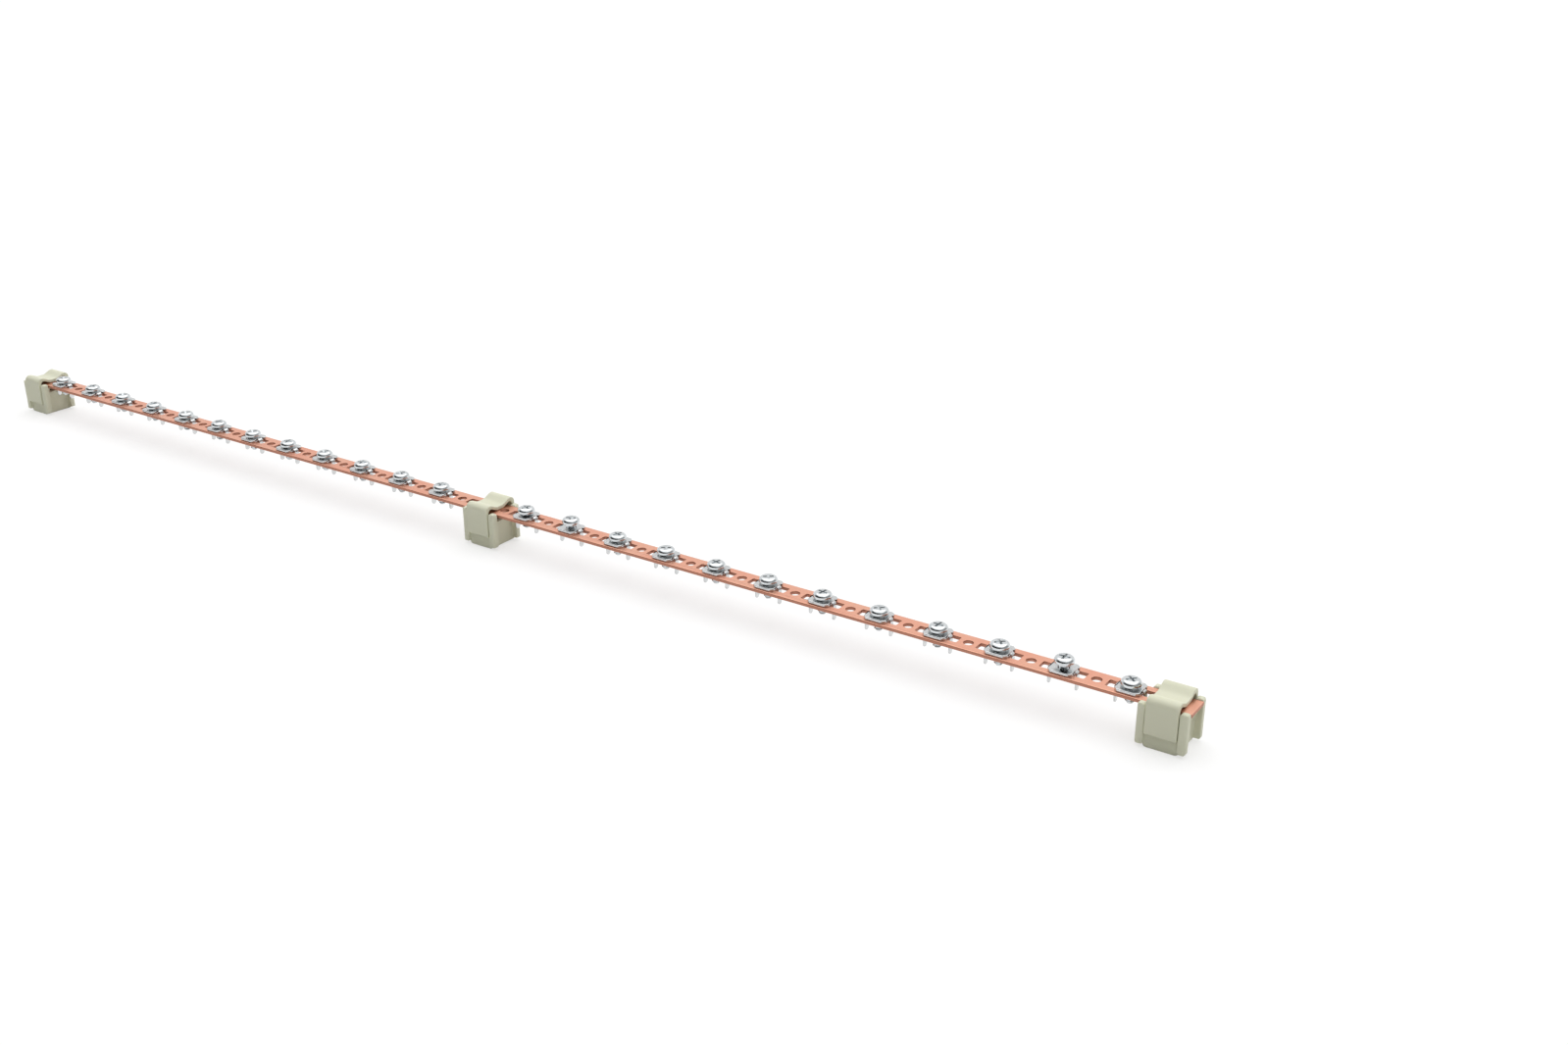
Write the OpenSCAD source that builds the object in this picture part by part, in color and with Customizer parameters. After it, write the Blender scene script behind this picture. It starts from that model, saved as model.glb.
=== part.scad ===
// Earth terminal bar: a punched copper strip that carries clamp terminals at an even pitch and
// stands on moulded insulating supports. Each support is a block with four corner posts, closed
// by a strap cap that clips down over the strip.
// Units are millimetres. X runs along the strip, Z is up, and the origin is on the mounting
// surface, under the middle of the strip.

/* [Copper strip] */
// Distance from one terminal to the next
pitch = 27; // [25:0.5:32]
// Terminals on each side of the middle support
side_terminals = 12; // [2:1:12]
// Width of the strip
bar_w = 12; // [11:0.5:12]
// Thickness of the strip
bar_t = 1.5; // [1:0.25:2]
// Strip left beyond the last round hole at each end
bar_end = 12.5; // [8:0.5:20]
// Diameter of the plain round holes midway between terminals
plain_hole_d = 4.2; // [3:0.1:5]
// Length of each leg slot, along the strip
slot_l = 4.6; // [3:0.1:5]
// Width of each leg slot, across the strip
slot_w = 5; // [3.6:0.1:5.5]
// Depth of the drawn collar under each tapped hole
collar_h = 1.25; // [1:0.25:3.25]

/* [Clamp terminals] */
// Thickness of the clamp plate
plate_t = 1.2; // [0.8:0.1:1.5]
// Clamp plate size across the strip
plate_w = 10; // [6:0.5:11]
// Distance over the outer faces of the plate's two legs
plate_span = 12.2; // [11.4:0.1:13]
// How far the legs reach below the top of the strip
leg_drop = 7; // [4:0.5:8]
// Width of each leg
leg_w = 2.5; // [2:0.1:3.6]
// Thread diameter of the screw
screw_d = 4; // [3:0.5:4]
// Head diameter
head_d = 8; // [6:0.5:9]
// Head height
head_h = 3.1; // [2.4:0.1:3.5]
// Screw length under the head
screw_l = 6.8; // [5:0.1:10]

/* [Supports] */
// Height of the strip's underside above the mounting surface
seat_h = 16; // [14:0.5:25]
// Distance from the end of the strip to the centre of an end support
end_inset = 10; // [10:0.5:16]
// Distance of the middle support from the centre of the strip
middle_shift = 4.5; // [0:0.5:6]
// Length of the block, along the strip
block_l = 13.8; // [13:0.1:14.5]
// Width of the block, across the strip
block_w = 15.4; // [14.8:0.1:16]
// Distance over the posts, along the strip
posts_l = 19.8; // [19:0.1:22]
// Distance over the posts, across the strip
posts_w = 18; // [17.4:0.1:19]
// Height of a post above the seat of the strip
post_rise = 2.1; // [1:0.1:2.5]
// Diameter of the fixing hole through the floor of a block
fixing_d = 4.5; // [3.5:0.1:5]

/* [Strap caps] */
// Length of the cap, along the strip
cap_l = 12.6; // [10:0.1:12.6]
// Distance over the legs of the cap
cap_w = 19.2; // [18.6:0.1:19.6]
// Thickness of the cap where it presses on the strip
cap_t = 1.8; // [1.2:0.1:2.4]
// Height of the cap's shoulders above the top of the strip
cap_rise = 3.65; // [3:0.05:4.5]
// Height of the lower edge of the cap's legs above the mounting surface
cap_foot = 6.1; // [4:0.1:6.5]

/* [Hidden] */
$fn = 48;
bar_top = seat_h + bar_t;
terminals = 2 * side_terminals;
bar_l = (2 * side_terminals + 1) * pitch + 2 * bar_end;
edge_r = 0.35;                      // rolled long edges of the strip
tap_d = screw_d - 0.1;              // tapped hole, drawn at its pitch diameter
shank_d = tap_d - 0.04;             // thread of the screw, drawn at its pitch diameter
collar_d = screw_d + 1.4;           // drawn collar, outside
slot_x = 4.7;                       // from the terminal's centre to the near end of a slot
slot_r = 0.6;                       // corners of a slot

bend_r = 1.5;                       // outside of the bends of a clamp plate
leg_t = 0.8;                        // thickness of its legs
leg_stand = 1.1;                    // from the end of the flat plate to the outside of a leg
plate_cut = 1.3;                    // clipped corners of the plate
plate_hole_d = screw_d + 0.5;
plate_l = plate_span - 2 * leg_stand;

head_round = 1.7;                   // rounded rim of the screw head
head_foot = 0.5;                    // rounding of its lower edge
recess_d = 4.6;                     // cross recess, over its wings
recess_w = 0.95;
recess_h = 2.1;
tip_h = 0.6;                        // chamfer at the screw's tip
// Screws that are not run right down: [terminal, gap under the head]
slack = [[13, 0.5], [14, 1.5], [23, 1.5]];

post_l = 3.4;                       // one post, along the strip
post_w = (posts_w - bar_w) / 2 - 0.1;
post_lift = 1.2;                    // posts end this far above the mounting surface
post_round = 1.3;                   // ends of a post, seen from the front
post_edge = 0.8;                    // ends of a post, seen from the side
post_corner = 1.3;                  // outer corner of a post, seen from above
post_inner = 0.4;                   // its other three corners
groove_w = 7.4;                     // channel that clears collars and legs under the strip
groove_h = 3.6;
lip_l = 0.7;                        // ledge under the strip at each end of a block
lip_h = 1.4;
block_round = 1.3;                  // lower edges of a block
floor_h = 5;                        // solid floor under the screw-head pocket
pocket_d = 8.6;
catch_z = cap_foot + 1.4;           // ridge of a cap leg, and its groove in the block
catch_l = 8;
catch_h = 1.2;
catch_t = 0.5;
snug = 0.1;                         // room round clipped and seated faces

shoulder_r = 2.6;                   // outer rounding of the cap
cap_leg_t = (cap_w - block_w) / 2 - snug / 2;
press_half = 1.3;                   // half width of the flat that presses on the strip
dip_steps = 14;
foot_cut = 0.5;                     // bevel at the lower edge of the cap's legs

copper = [0.86, 0.56, 0.45];
zinc = [0.80, 0.82, 0.84];
pebble_grey = [0.72, 0.72, 0.62];

// Terminals count from 1 at the left; the support in the middle takes one pitch
function terminal_x(n) =
    (n <= side_terminals ? n - side_terminals - 1 : n - side_terminals) * pitch;
function numbered(name, n) = str(name, "_", n < 10 ? "0" : "", n);
function gap_under_head(n) = let (hit = [for (s = slack) if (s[0] == n) s[1]])
    len(hit) > 0 ? hit[0] : 0;

SIDES = ["left", "middle", "right"];
support_x = [-(bar_l / 2 - end_inset), middle_shift, bar_l / 2 - end_inset];

// Rectangle centred on the origin with true round corners
module rounded_rect(size, r) {
    square([size[0] - 2 * r, size[1]], center = true);
    square([size[0], size[1] - 2 * r], center = true);
    for (x = [-1, 1], y = [-1, 1])
        translate([x * (size[0] / 2 - r), y * (size[1] / 2 - r)]) circle(r = r, $fn = 24);
}

// Stands a profile drawn in Y and Z up across the strip, and gives it a length along X
module across(length) {
    rotate([90, 0, 90]) linear_extrude(height = length, center = true) children();
}

// Stands a profile drawn in X and Z up along the strip, and gives it a width along Y
module along(width) {
    rotate([90, 0, 0]) linear_extrude(height = width, center = true) children();
}

// ---- Copper strip ----

module strip_blank() {
    translate([0, 0, seat_h + bar_t / 2]) across(bar_l) rounded_rect([bar_w, bar_t], edge_r);
}

// One tapped hole in its drawn collar, with a leg slot on each side
module terminal_punching() {
    translate([0, 0, seat_h - collar_h - 1])
        cylinder(d = tap_d, h = collar_h + bar_t + 2);
    for (side = [-1, 1])
        translate([side * (slot_x + slot_l / 2), 0, seat_h - 1])
            linear_extrude(height = bar_t + 2) rounded_rect([slot_l, slot_w], slot_r);
}

module copper_bar() {
    color(copper) difference() {
        union() {
            strip_blank();
            for (k = [-side_terminals : side_terminals])
                translate([k * pitch, 0, seat_h - collar_h])
                    cylinder(d = collar_d, h = collar_h + bar_t / 2);
        }
        for (k = [-side_terminals : side_terminals])
            translate([k * pitch, 0, 0]) terminal_punching();
        for (k = [-side_terminals - 1 : side_terminals])
            translate([(k + 0.5) * pitch, 0, seat_h - 1])
                cylinder(d = plain_hole_d, h = bar_t + 2);
    }
}

// ---- Clamp plate: a flat saddle with two legs bent down through the slots ----

// Half of the plate seen from the front: flat top, round bend, leg
module plate_bend() {
    outer = plate_span / 2;
    difference() {
        union() {
            square([outer - bend_r, plate_t]);
            translate([outer - bend_r, plate_t - bend_r]) circle(r = bend_r);
            translate([outer - leg_t, -leg_drop])
                square([leg_t, leg_drop + plate_t - bend_r]);
        }
        translate([-1, -leg_drop - 1]) square([outer - leg_t + 1, leg_drop + 1]);
    }
}

// Side view of a leg: parallel, with a full round tip
module leg_outline() {
    translate([-leg_w / 2, leg_w / 2 - leg_drop]) square([leg_w, leg_drop - leg_w / 2 + plate_t]);
    translate([0, leg_w / 2 - leg_drop]) circle(d = leg_w);
}

// Flat top of the plate with clipped corners
module plate_outline() {
    x = plate_l / 2;
    y = plate_w / 2;
    c = plate_cut;
    polygon([[x, c - y], [x, y - c], [x - c, y], [c - x, y],
        [-x, y - c], [-x, c - y], [c - x, -y], [x - c, -y]]);
}

module clamp_plate(n) {
    color(zinc) translate([terminal_x(n), 0, bar_top]) difference() {
        union() {
            linear_extrude(height = plate_t) plate_outline();
            for (side = [0, 1]) mirror([side, 0, 0])
                intersection() {
                    along(leg_w) plate_bend();
                    across(plate_span + 2) leg_outline();
                }
        }
        translate([0, 0, -1]) cylinder(d = plate_hole_d, h = plate_t + 2);
    }
}

// ---- Pan-head screw with a cross recess ----

module screw_profile() {
    flat_r = head_d / 2 - head_round;
    square([flat_r, head_h]);
    translate([0, head_foot]) square([head_d / 2, head_h - head_round - head_foot]);
    translate([flat_r, head_h - head_round]) circle(r = head_round);
    square([head_d / 2 - head_foot, head_h / 2]);
    translate([head_d / 2 - head_foot, head_foot]) circle(r = head_foot);
    translate([0, tip_h - screw_l]) square([shank_d / 2, screw_l - tip_h]);
    polygon([[0, -screw_l], [shank_d / 2 - tip_h, -screw_l], [shank_d / 2, tip_h - screw_l],
        [0, tip_h - screw_l]]);
}

module cross_recess() {
    intersection() {
        translate([0, 0, -recess_h]) cylinder(r1 = recess_w, r2 = recess_d / 2, h = recess_h + 0.01);
        for (turn = [0, 90])
            rotate(turn) cube([recess_d + 1, recess_w, 3 * recess_h], center = true);
    }
}

module clamp_screw(n) {
    color(zinc) translate([terminal_x(n), 0, bar_top + plate_t + gap_under_head(n)])
        rotate(n * 47) difference() {
            rotate_extrude() intersection() {
                screw_profile();
                translate([0, -screw_l]) square([head_d, screw_l + head_h]);
            }
            translate([0, 0, head_h]) cross_recess();
        }
}

// ---- Support: block with four corner posts ----

// One post seen from above; its outer corner is towards +X and +Y
module post_plan() {
    difference() {
        rounded_rect([post_l, post_w], post_inner);
        translate([post_l / 2 - post_corner, post_w / 2 - post_corner]) difference() {
            square(post_corner + 1);
            circle(r = post_corner);
        }
    }
}

module corner_post() {
    height = seat_h + post_rise - post_lift;
    translate([(posts_l - post_l) / 2, (posts_w - post_w) / 2, post_lift]) intersection() {
        linear_extrude(height = height) post_plan();
        translate([0, 0, height / 2]) along(post_w) rounded_rect([post_l, height], post_round);
        translate([0, 0, height / 2]) across(post_l) rounded_rect([post_w, height], post_edge);
    }
}

module block_outline() {
    intersection() {
        translate([0, seat_h / 2 + block_round])
            rounded_rect([block_l, seat_h + 2 * block_round], block_round);
        translate([0, seat_h / 2]) square([block_l, seat_h], center = true);
    }
}

module catch_profile(depth, height) {
    polygon([[0, -height / 2 - depth], [depth, -height / 2], [depth, height / 2],
        [0, height / 2 + depth / 2]]);
}

module holder_base(x) {
    color(pebble_grey) translate([x, 0, 0]) difference() {
        union() {
            along(block_w) block_outline();
            translate([0, 0, seat_h - lip_h / 2])
                cube([block_l + 2 * lip_l, posts_w - 2 * post_w + 0.4, lip_h], center = true);
            for (mx = [0, 1], my = [0, 1])
                mirror([mx, 0, 0]) mirror([0, my, 0]) corner_post();
        }
        translate([0, 0, seat_h]) cube([3 * block_l, groove_w, 2 * groove_h], center = true);
        translate([0, 0, floor_h]) cylinder(d = pocket_d, h = seat_h);
        translate([0, 0, -1]) cylinder(d = fixing_d, h = floor_h + 2);
        for (side = [0, 1])
            mirror([0, side, 0]) translate([0, block_w / 2 + 0.01, catch_z])
                across(catch_l + 2 * snug)
                    mirror([1, 0]) catch_profile(catch_t + snug, catch_h + 2 * snug);
    }
}

// ---- Strap cap: a saddle that dips onto the strip, with two clip legs ----

// 0 over the flat that presses on the strip, rising smoothly to 1 at the shoulder
function saddle(y, reach) =
    let (u = max(0, (abs(y) - press_half) / (reach - press_half)))
    (1 - cos(180 * min(1, u))) / 2;

// Outer and inner edge of the saddle, from one shoulder to the other
outer_reach = cap_w / 2 - shoulder_r;
inner_reach = cap_w / 2 - cap_leg_t - 1;
function saddle_line(reach, low, high) =
    [for (i = [-dip_steps : dip_steps])
        let (y = reach * i / dip_steps) [y, low + (high - low) * saddle(y, reach)]];

module cap_profile() {
    top = bar_top + cap_rise;
    under = top - cap_t;
    inner = cap_w / 2 - cap_leg_t;
    difference() {
        union() {
            polygon(concat(
                [[-outer_reach, cap_foot]],
                saddle_line(outer_reach, bar_top + cap_t, top),
                [[outer_reach, cap_foot]]));
            for (side = [0, 1]) mirror([side, 0]) {
                translate([outer_reach, top - shoulder_r]) circle(r = shoulder_r);
                translate([outer_reach - 0.01, cap_foot + foot_cut])
                    square([shoulder_r + 0.01, top - shoulder_r - cap_foot - foot_cut]);
                polygon([[inner - 0.5, cap_foot], [cap_w / 2 - foot_cut, cap_foot],
                    [cap_w / 2, cap_foot + foot_cut], [inner - 0.5, cap_foot + foot_cut]]);
            }
        }
        polygon(concat(
            [[-inner, cap_foot - 1], [-inner, under - 1]],
            saddle_line(inner_reach, bar_top, under),
            [[inner, under - 1], [inner, cap_foot - 1]]));
    }
}

module holder_cap(x) {
    color(pebble_grey) translate([x, 0, 0]) {
        across(cap_l) cap_profile();
        for (side = [0, 1])
            mirror([0, side, 0]) translate([0, cap_w / 2 - cap_leg_t + 0.01, catch_z])
                across(catch_l) mirror([1, 0]) catch_profile(catch_t, catch_h);
    }
}

copper_bar();
for (n = [1 : terminals])
    clamp_plate(n);
for (n = [1 : terminals])
    clamp_screw(n);
for (i = [0 : 2])
    holder_base(support_x[i]);
for (i = [0 : 2])
    holder_cap(support_x[i]);
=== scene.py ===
# %% [markdown]
# # Earth terminal bar
# The object is a long punched copper strip that carries a row of screw clamps and stands on three
# moulded supports. It is dressed here from the inside of the frame outwards: first the finishes,
# then each kind of piece, then the table it stands on, the light and the camera.
# The frame gives the exact solids. Each visible piece keeps the form of its solid and adds what a
# solid model leaves plain: rolled edges, threads, the walls of a driver recess, and a surface.

import math

import bmesh
import bpy
from mathutils import Matrix, Vector


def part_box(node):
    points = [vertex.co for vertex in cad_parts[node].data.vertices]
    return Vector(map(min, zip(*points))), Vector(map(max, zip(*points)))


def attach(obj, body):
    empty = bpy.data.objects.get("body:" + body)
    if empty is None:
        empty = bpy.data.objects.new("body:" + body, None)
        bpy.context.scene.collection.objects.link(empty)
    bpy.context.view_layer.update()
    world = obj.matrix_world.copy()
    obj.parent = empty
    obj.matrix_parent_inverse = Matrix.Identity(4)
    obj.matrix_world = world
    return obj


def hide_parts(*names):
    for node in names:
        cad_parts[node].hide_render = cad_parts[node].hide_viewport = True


MM = 0.001
TERMINALS = range(1, 25)
SIDES = ("left", "middle", "right")

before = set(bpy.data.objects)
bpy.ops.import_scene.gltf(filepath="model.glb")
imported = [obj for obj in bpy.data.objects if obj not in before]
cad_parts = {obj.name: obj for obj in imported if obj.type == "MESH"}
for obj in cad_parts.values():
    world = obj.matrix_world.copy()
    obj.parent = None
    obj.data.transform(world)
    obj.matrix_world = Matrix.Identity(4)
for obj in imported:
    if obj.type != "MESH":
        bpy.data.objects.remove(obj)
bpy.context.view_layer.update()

# %% [markdown]
# ## Building materials from nodes
# Every finish is a small graph of nodes. A noise texture in object coordinates stays fixed to the
# metal when the object turns, so the wear belongs to the piece and not to the view.
# These helpers keep the graphs short: each one makes a node, links it, and returns its output.

# %% Helpers for node graphs
class Graph:
    """A material under construction, with one Principled shader."""

    def __init__(self, name):
        self.material = bpy.data.materials.new(name)
        self.material.use_nodes = True
        self.nodes = self.material.node_tree.nodes
        self.links = self.material.node_tree.links
        self.shader = self.nodes["Principled BSDF"]
        self.coordinates = self.nodes.new("ShaderNodeTexCoord")
        self.place = self.coordinates.outputs["Object"]

    def add(self, kind, **settings):
        node = self.nodes.new(kind)
        for key, value in settings.items():
            setattr(node, key, value)
        return node

    def feed(self, socket, value):
        """Links a node's output to a socket, or sets a constant on it."""
        if isinstance(value, bpy.types.NodeSocket):
            self.links.new(value, socket)
        else:
            socket.default_value = value

    def stretched(self, scale):
        """Object coordinates, scaled per axis."""
        node = self.add("ShaderNodeMapping")
        self.links.new(self.place, node.inputs["Vector"])
        node.inputs["Scale"].default_value = scale
        return node.outputs["Vector"]

    def noise(self, scale, detail=3.0, roughness=0.5, vector=None):
        node = self.add("ShaderNodeTexNoise")
        self.links.new(vector or self.place, node.inputs["Vector"])
        node.inputs["Scale"].default_value = scale
        node.inputs["Detail"].default_value = detail
        node.inputs["Roughness"].default_value = roughness
        return node.outputs["Fac"]

    def part_of(self, vector, axis):
        """One of the three components of a vector."""
        node = self.add("ShaderNodeSeparateXYZ")
        self.links.new(vector, node.inputs["Vector"])
        return node.outputs[axis]

    def ramp(self, value, low, high, to_low=0.0, to_high=1.0):
        """Maps low..high to to_low..to_high, and holds beyond."""
        node = self.add("ShaderNodeMapRange")
        self.feed(node.inputs["Value"], value)
        node.inputs["From Min"].default_value = low
        node.inputs["From Max"].default_value = high
        node.inputs["To Min"].default_value = to_low
        node.inputs["To Max"].default_value = to_high
        return node.outputs["Result"]

    def blend(self, factor, first, second):
        """Blend of two colours."""
        node = self.add("ShaderNodeMix", data_type="RGBA")
        self.feed(node.inputs["Factor"], factor)
        self.feed(node.inputs["A"], first)
        self.feed(node.inputs["B"], second)
        return node.outputs["Result"]

    def mix(self, factor, first, second):
        """Blend of two numbers."""
        node = self.add("ShaderNodeMix", data_type="FLOAT")
        self.feed(node.inputs["Factor"], factor)
        self.feed(node.inputs["A"], first)
        self.feed(node.inputs["B"], second)
        return node.outputs["Result"]

    def bump(self, height, distance, strength):
        node = self.add("ShaderNodeBump")
        self.feed(node.inputs["Height"], height)
        node.inputs["Distance"].default_value = distance
        node.inputs["Strength"].default_value = strength
        return node.outputs["Normal"]

    def set(self, **values):
        """Feeds the shader's inputs by name and gives the finished material back."""
        for key, value in values.items():
            self.feed(self.shader.inputs[key.replace("_", " ")], value)
        print("material", self.material.name, "with", len(self.nodes), "nodes")
        return self.material


def rgb(r, g, b):
    return (r, g, b, 1.0)


# %% [markdown]
# ## Copper
# Copper strip is drawn and rolled, so its faces take a fine grain along the length. Handling leaves
# faint redder patches. Both are noises that move the colour a little, and the stretched one also
# tilts the surface.
# The long edges were sheared from a wider sheet, so they are rougher and duller than the rolled faces.
# Every face that points sideways, told by the height of its surface normal, is also painted darker
# and browner: this is painted shade on the sides.

# %% Copper finish
g = Graph("drawn_copper")
grain = g.noise(1.0, detail=4.0, vector=g.stretched((120.0, 5200.0, 5200.0)))
patches = g.noise(60.0, detail=5.0, roughness=0.62)
rise = g.part_of(g.coordinates.outputs["Normal"], "Z")
# Painted shade: faces that point sideways take a darker, browner colour, and the same mask makes them
# rougher.
shear_and_painted_shade_mask = g.ramp(rise, 0.35, 0.9)
tint = g.blend(g.ramp(patches, 0.38, 0.66), rgb(0.78, 0.41, 0.29), rgb(0.72, 0.34, 0.24))
tint = g.blend(g.ramp(grain, 0.4, 0.75, 0.0, 0.3), tint, rgb(0.86, 0.47, 0.33))
copper = g.set(
    Base_Color=g.blend(shear_and_painted_shade_mask, rgb(0.50, 0.235, 0.165), tint),
    Metallic=1.0,
    Roughness=g.mix(shear_and_painted_shade_mask, 0.5, g.ramp(patches, 0.3, 0.7, 0.34, 0.44)),
    Normal=g.bump(grain, 0.02 * MM, 0.6),
)

# %% [markdown]
# ## Zinc plate
# Plates and screws are steel with a bright, slightly bluish zinc plate. The deposit is thin and
# even, so a cloudy noise only shifts its brightness and roughness, and a fine one keeps the
# highlights from looking like glass.

# %% Zinc finishes
def zinc(name, colour, smooth, rough):
    g = Graph(name)
    cloud = g.noise(700.0, detail=3.0)
    fine = g.noise(5200.0, detail=2.0)
    dull = tuple(0.84 * c for c in colour[:3])
    return g.set(
        Base_Color=g.blend(g.ramp(cloud, 0.35, 0.7), colour, rgb(*dull)),
        Metallic=1.0,
        Roughness=g.ramp(cloud, 0.3, 0.7, smooth, rough),
        Normal=g.bump(fine, 0.008 * MM, 0.5),
    )


zinc_plate = zinc("zinc_on_pressed_steel", rgb(0.70, 0.715, 0.72), 0.16, 0.27)
zinc_screw = zinc("zinc_on_rolled_screw", rgb(0.74, 0.77, 0.785), 0.12, 0.22)

# %% [markdown]
# ## Moulded plastic
# The supports are a pebble grey engineering plastic with a satin skin. A trace of scattering under
# the surface softens the shadow edges, and a very fine noise stands for the texture of the mould.

# %% Plastic finish
g = Graph("pebble_grey_plastic")
skin = g.noise(2600.0, detail=2.0)
flow = g.noise(70.0, detail=3.0)
plastic = g.set(
    Base_Color=g.blend(g.ramp(flow, 0.3, 0.7), rgb(0.72, 0.72, 0.56), rgb(0.695, 0.70, 0.535)),
    Roughness=g.ramp(skin, 0.3, 0.7, 0.42, 0.5),
    Normal=g.bump(skin, 0.02 * MM, 0.4),
    Subsurface_Weight=0.06,
    Subsurface_Radius=(0.9 * MM, 0.9 * MM, 0.6 * MM),
    Subsurface_Scale=1.0,
    Specular_IOR_Level=0.4,
)

# %% [markdown]
# ## Rounded copies
# A solid model has knife-sharp edges, and no real piece has. Each piece that needs no new form is
# the solid's own surface with its edges rounded. The triangles are first joined and the flat ones
# merged, so that the bevel finds only the true edges of the form.
# A block has too many small faces that meet at odd angles for that. It is melted into an even grid
# of small faces instead, and smoothed, which rounds inner and outer edges alike.

# %% Dress a solid with rounded edges
def new_object(name, mesh):
    obj = bpy.data.objects.new(name, mesh)
    bpy.context.scene.collection.objects.link(obj)
    return obj


def apply_modifiers(obj):
    """Replaces the mesh of a piece by what its modifiers make of it."""
    bpy.context.view_layer.update()
    ready = obj.evaluated_get(bpy.context.evaluated_depsgraph_get())
    mesh = bpy.data.meshes.new_from_object(ready)
    obj.modifiers.clear()
    obj.data = mesh


def finish_mesh(obj, material, nodes, smooth_deg=32.0):
    """Gives a piece its material and shading, and lets it stand for its solids."""
    obj.data.materials.clear()
    obj.data.materials.append(material)
    obj.data.polygons.foreach_set("use_smooth", [True] * len(obj.data.polygons))
    obj.data.set_sharp_from_angle(angle=math.radians(smooth_deg))
    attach(obj, "root")
    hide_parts(*nodes)
    return obj


def rounded_copy(node, name, width, material, segments, edge_deg=35.0):
    """A copy of one solid's surface, with every true edge rounded."""
    mesh = bpy.data.meshes.new(name)
    work = bmesh.new()
    work.from_mesh(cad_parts[node].data)
    bmesh.ops.remove_doubles(work, verts=work.verts, dist=0.002 * MM)
    bmesh.ops.dissolve_limit(
        work, angle_limit=math.radians(0.6), verts=work.verts, edges=work.edges)
    work.to_mesh(mesh)
    work.free()
    obj = new_object(name, mesh)
    bevel = obj.modifiers.new("rounding", "BEVEL")
    bevel.limit_method = "ANGLE"
    bevel.angle_limit = math.radians(edge_deg)
    bevel.width = width
    bevel.segments = segments
    bevel.use_clamp_overlap = False
    apply_modifiers(obj)
    finish_mesh(obj, material, [node])
    flat = obj.modifiers.new("flat_faces", "WEIGHTED_NORMAL")
    flat.keep_sharp = True
    apply_modifiers(obj)
    return obj


def moulded_copy(node, name, grain, passes, material):
    """A copy of one solid's surface, melted a little so that every edge goes soft."""
    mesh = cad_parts[node].data.copy()
    mesh.name = name
    obj = new_object(name, mesh)
    melt = obj.modifiers.new("melt", "REMESH")
    melt.mode = "VOXEL"
    melt.voxel_size = grain
    soften = obj.modifiers.new("soften", "SMOOTH")
    soften.factor = 0.5
    soften.iterations = passes
    thin = obj.modifiers.new("thin", "DECIMATE")
    thin.ratio = 0.5
    apply_modifiers(obj)
    return finish_mesh(obj, material, [node], smooth_deg=60.0)


# %% [markdown]
# ## The strip
# One strip, punched in a single press. The drawn collars under the tapped holes are part of it.

# %% Copper strip
strip = rounded_copy("copper_bar", "strip", 0.12 * MM, copper, segments=2)
print("strip:", len(strip.data.polygons), "faces")

# %% [markdown]
# ## The clamp plates
# Each plate is blanked and then bent, so its edges are rolled over on the outside.

# %% Clamp plates
plates = [
    rounded_copy(
        f"clamp_plate_{n:02d}", f"plate_{n:02d}", 0.28 * MM, zinc_plate, segments=4)
    for n in TERMINALS
]
print("plates:", len(plates), "of", len(plates[0].data.polygons), "faces")

# %% [markdown]
# ## The head of a clamp screw
# A pan head is upset from wire, so it is a body of revolution with a soft rim. It stands on a short
# neck, which stays dark between head and plate. The cross recess is punched afterwards. Its wings
# narrow towards the bottom, which comes from cutting the head with a tapered tool.

# %% Head and recess
HEAD_R, HEAD_H, RIM_R, FOOT_R = 4.0, 3.1, 1.7, 0.25
NECK_R, NECK_H = 3.1, 0.75
SHANK_R, SHANK_L = 1.93, 6.8


def revolve(name, profile, steps=72):
    """Turns a profile of (radius, height) points, in millimetres, about Z."""
    work = bmesh.new()
    rings = []
    for radius, height in profile:
        if radius < 1e-6:
            rings.append([work.verts.new((0, 0, height * MM))] * steps)
            continue
        angles = [2 * math.pi * k / steps for k in range(steps)]
        rings.append([
            work.verts.new((radius * MM * math.cos(t), radius * MM * math.sin(t), height * MM))
            for t in angles])
    for lower, upper in zip(rings, rings[1:]):
        for k in range(steps):
            j = (k + 1) % steps
            corners = []
            for vert in (lower[k], lower[j], upper[j], upper[k]):
                if vert not in corners:
                    corners.append(vert)
            work.faces.new(corners)
    bmesh.ops.recalc_face_normals(work, faces=work.faces)
    mesh = bpy.data.meshes.new(name)
    work.to_mesh(mesh)
    work.free()
    return new_object(name, mesh)


def arc(centre, radius, start_deg, end_deg, steps):
    """Points of a circular arc in the plane of a profile."""
    angles = [math.radians(start_deg + (end_deg - start_deg) * k / steps) for k in range(steps + 1)]
    return [(centre[0] + radius * math.cos(t), centre[1] + radius * math.sin(t)) for t in angles]


def recess_cutter(depth, top_half, bottom_half, wing):
    """Two crossed wings that narrow towards the bottom."""
    work = bmesh.new()
    top, bottom = HEAD_H + 0.3, HEAD_H - depth
    for turn in (0, 90):
        spin = Matrix.Rotation(math.radians(turn), 3, "Z")
        low_ring, high_ring = [], []
        for x, y in ((-1, -1), (1, -1), (1, 1), (-1, 1)):
            low_ring.append(work.verts.new(
                spin @ Vector((x * bottom_half * MM, y * 0.7 * wing * MM, bottom * MM))))
            high_ring.append(work.verts.new(
                spin @ Vector((x * top_half * MM, y * wing * MM, top * MM))))
        work.faces.new(list(reversed(low_ring)))
        work.faces.new(high_ring)
        for k in range(4):
            j = (k + 1) % 4
            work.faces.new((low_ring[k], low_ring[j], high_ring[j], high_ring[k]))
    mesh = bpy.data.meshes.new("recess_cutter")
    work.to_mesh(mesh)
    work.free()
    return new_object("recess_cutter", mesh)


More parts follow.
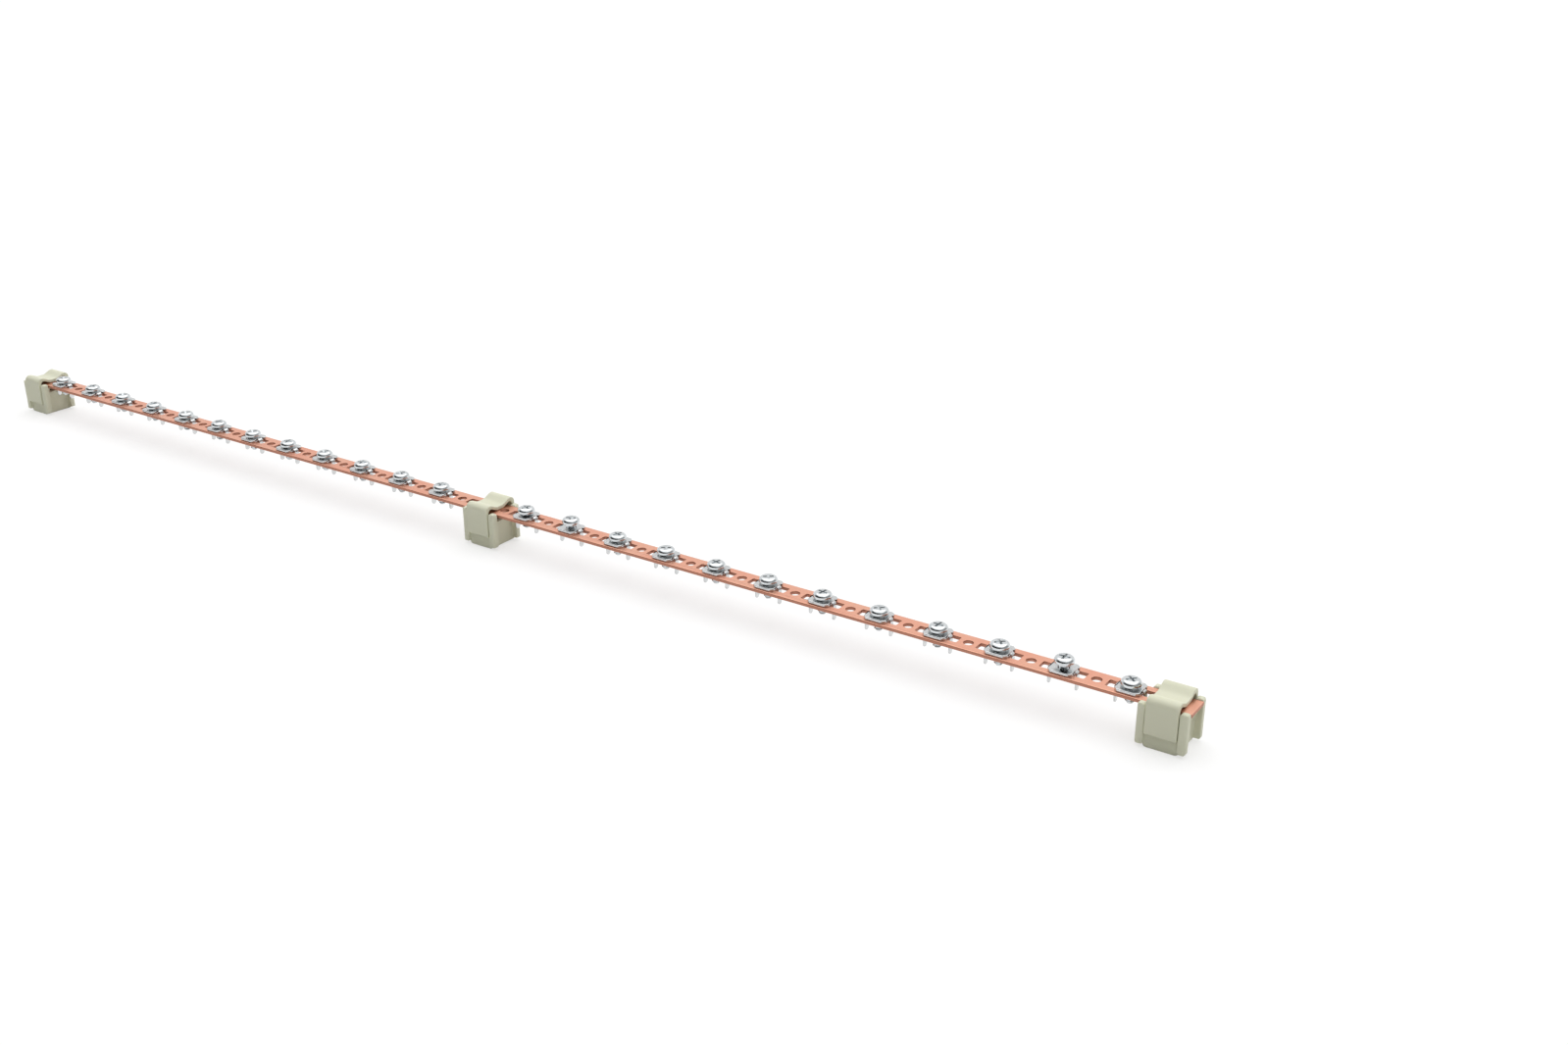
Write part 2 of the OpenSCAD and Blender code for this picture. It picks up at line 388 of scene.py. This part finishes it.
def cut(obj, cutter):
    """Takes the cutter's form out of a piece."""
    boolean = obj.modifiers.new("cut", "BOOLEAN")
    boolean.operation = "DIFFERENCE"
    boolean.solver = "EXACT"
    boolean.use_self = True
    boolean.object = cutter
    apply_modifiers(obj)
    bpy.data.objects.remove(cutter)


foot = arc((HEAD_R - FOOT_R, NECK_H + FOOT_R), FOOT_R, -90, 0, 6)
rim = arc((HEAD_R - RIM_R, HEAD_H - RIM_R), RIM_R, 0, 72, 14)
crown = [(radius, HEAD_H - 0.03 - 0.012 * radius ** 2) for radius in (1.6, 0.9, 0.0)]
head = revolve("screw_head", [(0.0, 0.0), (NECK_R, 0.0), (NECK_R, NECK_H)] + foot + rim + crown)
cut(head, recess_cutter(2.0, 2.5, 0.9, 0.5))
print("head:", len(head.data.polygons), "faces")

# %% [markdown]
# ## The thread of a clamp screw
# A thread is rolled into the wire. It is modelled as one band swept along a helix: a flank, a narrow
# crest, a flank and the root between two turns. The last turn runs out into a chamfered tip.

# %% Threaded shank
THREAD_PITCH, THREAD_DEPTH = 0.7, 0.42
RUN_OUT = 0.6
TIP_INSET, TIP_H = 0.75, 0.7


def threaded_shank(name, steps=28):
    """A helical ridge from under the head to the tip."""
    work = bmesh.new()
    turns = int(SHANK_L / THREAD_PITCH) - 1
    band = [(0.0, 1.0), (0.38, 0.0), (0.62, 0.0), (1.0, 1.0)]
    rows = []
    for k in range(turns * steps + 1):
        angle = 2 * math.pi * k / steps
        row = []
        for share, inwards in band:
            depth = -THREAD_PITCH * (k / steps + share)
            left = SHANK_L + depth
            taper = min(1.0, 0.35 + left / 0.9) if left < RUN_OUT else 1.0
            radius = (SHANK_R - THREAD_DEPTH * inwards) * taper
            row.append(work.verts.new(
                (radius * MM * math.cos(angle), radius * MM * math.sin(angle), depth * MM)))
        rows.append(row)
    for first, second in zip(rows, rows[1:]):
        for j in range(len(band) - 1):
            work.faces.new((first[j], first[j + 1], second[j + 1], second[j]))
    bmesh.ops.remove_doubles(work, verts=work.verts, dist=0.001 * MM)
    ends = []
    for radius, height in (
            (SHANK_R - TIP_INSET, -SHANK_L), (SHANK_R - THREAD_DEPTH, TIP_H - SHANK_L)):
        angles = [2 * math.pi * k / steps for k in range(steps)]
        ends.append([
            work.verts.new((radius * MM * math.cos(t), radius * MM * math.sin(t), height * MM))
            for t in angles])
    work.faces.new(ends[0])
    for k in range(steps):
        j = (k + 1) % steps
        work.faces.new((ends[0][k], ends[0][j], ends[1][j], ends[1][k]))
    bmesh.ops.recalc_face_normals(work, faces=work.faces)
    mesh = bpy.data.meshes.new(name)
    work.to_mesh(mesh)
    work.free()
    return new_object(name, mesh)


def joined(name, objects):
    """Puts the meshes of some objects into one mesh."""
    work = bmesh.new()
    for obj in objects:
        work.from_mesh(obj.data)
        bpy.data.objects.remove(obj)
    mesh = bpy.data.meshes.new(name)
    work.to_mesh(mesh)
    work.free()
    return mesh


screw_mesh = joined("screw", [head, threaded_shank("screw_shank")])
print("screw:", len(screw_mesh.polygons), "faces")

# %% [markdown]
# ## The screws in their places
# All screws share one mesh. Each takes the place of its solid, and the angle at which it was left.

# %% Place the screws
TURN_DEG = 47
screws = []
for n in TERMINALS:
    low_corner, high_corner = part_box(f"clamp_screw_{n:02d}")
    place = Vector(((low_corner.x + high_corner.x) / 2, 0.0, high_corner.z - HEAD_H * MM))
    screw = new_object(f"screw_{n:02d}", screw_mesh)
    turn = Matrix.Rotation(math.radians(TURN_DEG * n), 4, "Z")
    screw.matrix_world = Matrix.Translation(place) @ turn
    screws.append(finish_mesh(screw, zinc_screw, [f"clamp_screw_{n:02d}"]))
print("screws:", len(screws))

# %% [markdown]
# ## The supports
# Block and cap come from moulds, whose cutters leave small radii on every edge.

# %% Blocks and caps
for side in SIDES:
    block = moulded_copy(
        f"holder_base_{side}", f"block_{side}", 0.2 * MM, 5, plastic)
    cap = rounded_copy(
        f"holder_cap_{side}", f"cap_{side}", 0.4 * MM, plastic, segments=4)
print("block:", len(block.data.polygons), "faces, cap:", len(cap.data.polygons), "faces")

# %% [markdown]
# ## The table
# The table is white. Light that bounces off it onto the object comes from a plain white surface.
# Where it is looked at, straight or in a mirror, half of its brightness is its own, so that the open
# table is white and the shadow of the object stays faint and grey.

# %% White table
TABLE_HALF = 6.0
corners = [(-1, -1), (1, -1), (1, 1), (-1, 1)]
table_mesh = bpy.data.meshes.new("table")
table_mesh.from_pydata(
    [(x * TABLE_HALF, y * TABLE_HALF, 0.0) for x, y in corners], [], [(0, 1, 2, 3)])
table = new_object("table", table_mesh)

g = Graph("white_table")
g.set(Base_Color=rgb(0.8, 0.8, 0.8), Roughness=1.0, Specular_IOR_Level=0.0)
paper = g.add("ShaderNodeBsdfDiffuse")
paper.inputs["Color"].default_value = rgb(0.95, 0.95, 0.95)
glow = g.add("ShaderNodeEmission")
glow.inputs["Strength"].default_value = 1.06
seen = g.add("ShaderNodeMixShader")
seen.inputs["Fac"].default_value = 0.55
g.links.new(paper.outputs["BSDF"], seen.inputs[1])
g.links.new(glow.outputs["Emission"], seen.inputs[2])
ray = g.add("ShaderNodeLightPath")
looked_at = ray.outputs["Is Camera Ray"]
for kind in ("Is Glossy Ray", "Is Transmission Ray"):
    either = g.add("ShaderNodeMath", operation="MAXIMUM")
    g.links.new(looked_at, either.inputs[0])
    g.links.new(ray.outputs[kind], either.inputs[1])
    looked_at = either.outputs["Value"]
choice = g.add("ShaderNodeMixShader")
g.links.new(looked_at, choice.inputs["Fac"])
g.links.new(g.shader.outputs["BSDF"], choice.inputs[1])
g.links.new(seen.outputs["Shader"], choice.inputs[2])
g.links.new(choice.outputs["Shader"], g.nodes["Material Output"].inputs["Surface"])
table.data.materials.append(g.material)
print("table:", 2 * TABLE_HALF, "m square")

# %% [markdown]
# ## The light
# A large soft light hangs straight overhead, a white sweep stands behind the object, and a weaker
# light comes from the right. The side of the camera stays dark. That side is what gives bright metal
# its black lines, while the rest mirrors the lights.
# Together they light a level white surface at a strength of about one, so colours come out as written.

# %% Studio light
world = bpy.data.worlds.new("studio")
bpy.context.scene.world = world
world.use_nodes = True
nodes, links = world.node_tree.nodes, world.node_tree.links
sky = nodes["Background"]
direction = nodes.new("ShaderNodeTexCoord").outputs["Generated"]


def along(vector):
    """How far the looked-at direction points along a fixed one, from -1 to 1."""
    node = nodes.new("ShaderNodeVectorMath")
    node.operation = "DOT_PRODUCT"
    links.new(direction, node.inputs[0])
    node.inputs[1].default_value = Vector(vector).normalized()
    return node.outputs["Value"]


def softly(value, low, high, strength):
    """Rises smoothly from nothing at low to full strength at high."""
    node = nodes.new("ShaderNodeMapRange")
    node.interpolation_type = "SMOOTHSTEP"
    links.new(value, node.inputs["Value"])
    node.inputs["From Min"].default_value = low
    node.inputs["From Max"].default_value = high
    node.inputs["To Min"].default_value = 0.0
    node.inputs["To Max"].default_value = strength
    return node.outputs["Result"]


def total(first, second):
    node = nodes.new("ShaderNodeMath")
    node.operation = "ADD"
    links.new(first, node.inputs[0])
    if isinstance(second, bpy.types.NodeSocket):
        links.new(second, node.inputs[1])
    else:
        node.inputs[1].default_value = second
    return node.outputs["Value"]


overhead = softly(along((0.0, 0.0, 1.0)), 0.55, 0.85, 1.35)
sweep = softly(along((-0.56, 0.82, 0.1)), 0.05, 0.6, 0.85)
fill = softly(along((1.0, 0.1, 0.35)), 0.3, 0.9, 0.3)
level = total(total(overhead, sweep), total(fill, 0.03))
links.new(level, sky.inputs["Strength"])
sky.inputs["Color"].default_value = rgb(1.0, 1.0, 1.0)
print("world:", len(nodes), "nodes")

# %% [markdown]
# ## The camera
# The camera stands a little to the right of the object's front, at arm's length, and looks down
# along the strip, which runs from the far left corner of the view to the near right one.

# %% Camera
lens_data = bpy.data.cameras.new("camera")
lens_data.lens = 38.396
lens_data.sensor_width = 36.0
lens_data.clip_start = 0.01
lens_data.clip_end = 50.0
camera = new_object("camera", lens_data)
camera.location = (0.5234, -0.5227, 0.3107)
camera.rotation_euler = (math.radians(90.0 - 22.61), 0.0, math.radians(34.07))
bpy.context.scene.camera = camera
print("camera at", [round(value, 3) for value in camera.location])

# %% [markdown]
# ## Colour
# Colours are shown plainly, without a film curve.

# %% Finish
bpy.context.scene.view_settings.view_transform = "Standard"
